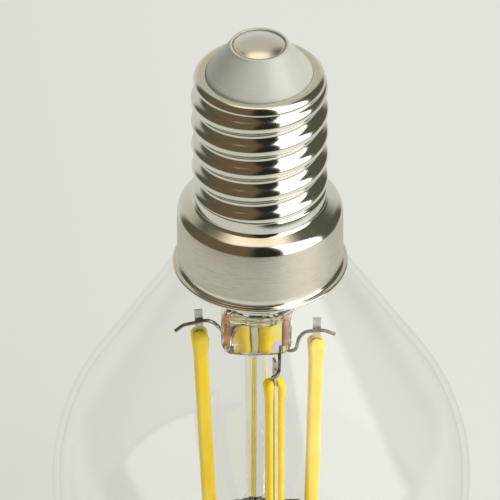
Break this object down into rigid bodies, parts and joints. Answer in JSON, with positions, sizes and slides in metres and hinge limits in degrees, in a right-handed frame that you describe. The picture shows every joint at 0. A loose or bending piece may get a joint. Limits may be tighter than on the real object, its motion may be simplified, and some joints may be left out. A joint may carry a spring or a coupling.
{
  "type": "globe bulb",
  "caption": "Clear globe lamp with upright filament strips on a glass stem, under a small screw cap with a domed centre contact.",
  "frame": {"origin": "crown of the centre contact, on the lamp's axis, where the lampholder's contact touches it", "axes": "+Z along the lamp's axis, out through the cap, so the globe hangs below; -Y is the side facing the picture's camera"},
  "size_m": [0.045, 0.045, 0.0792],
  "materials": {
    "cap_metal": "nickel-plated sheet, bright on the thread and satin on the skirt",
    "insulator": "milky moulded insulator, glossy",
    "eyelet_brass": "bare",
    "contact_metal": "plated, polished",
    "envelope_glass": "clear blown glass",
    "stem_glass": "clear drawn glass",
    "cement": "baked cement, matt",
    "copper": "copper",
    "nickel_wire": "drawn nickel wire, browned by the seal",
    "filament_strip": "clear carrier strip",
    "tab_metal": "plated",
    "phosphor": "silicone coat filled with phosphor, slightly glossy",
    "board": "solder mask",
    "chip_plastic": "moulded, matt",
    "capacitor_sleeve": "shrink sleeve",
    "resistor_enamel": "enamelled",
    "tinned_wire": "tinned copper"
  },
  "bodies": {
    "root": {"bridge_rectifier": "chip_plastic", "bridge_wire_front": "nickel_wire", "bridge_wire_side": "nickel_wire", "cap_insulator": "insulator", "cap_shell": "cap_metal", "capping_cement": "cement", "centre_contact": "contact_metal", "contact_eyelet": "eyelet_brass", "driver_board": "board", "driver_chip": "chip_plastic", "exhaust_tube": "stem_glass", "filament_front_coat_a": "phosphor", "filament_front_coat_b": "phosphor", "filament_front_foot_tab": "tab_metal", "filament_front_strip": "filament_strip", "filament_front_top_tab": "tab_metal", "filament_left_coat_a": "phosphor", "filament_left_coat_b": "phosphor", "filament_left_foot_tab": "tab_metal", "filament_left_strip": "filament_strip", "filament_left_top_tab": "tab_metal", "filament_rear_coat_a": "phosphor", "filament_rear_coat_b": "phosphor", "filament_rear_foot_tab": "tab_metal", "filament_rear_strip": "filament_strip", "filament_rear_top_tab": "tab_metal", "filament_right_coat_a": "phosphor", "filament_right_coat_b": "phosphor", "filament_right_foot_tab": "tab_metal", "filament_right_strip": "filament_strip", "filament_right_top_tab": "tab_metal", "fuse_resistor": "resistor_enamel", "glass_envelope": "envelope_glass", "hook_wire_front": "nickel_wire", "hook_wire_left": "nickel_wire", "hook_wire_rear": "nickel_wire", "hook_wire_right": "nickel_wire", "lead_in_left": "copper", "lead_in_right": "copper", "neutral_wire": "tinned_wire", "outer_lead_left": "copper", "outer_lead_right": "copper", "sense_resistors": "chip_plastic", "smoothing_capacitor": "capacitor_sleeve", "stem": "stem_glass", "support_column": "stem_glass"}
  },
  "joints": []
}
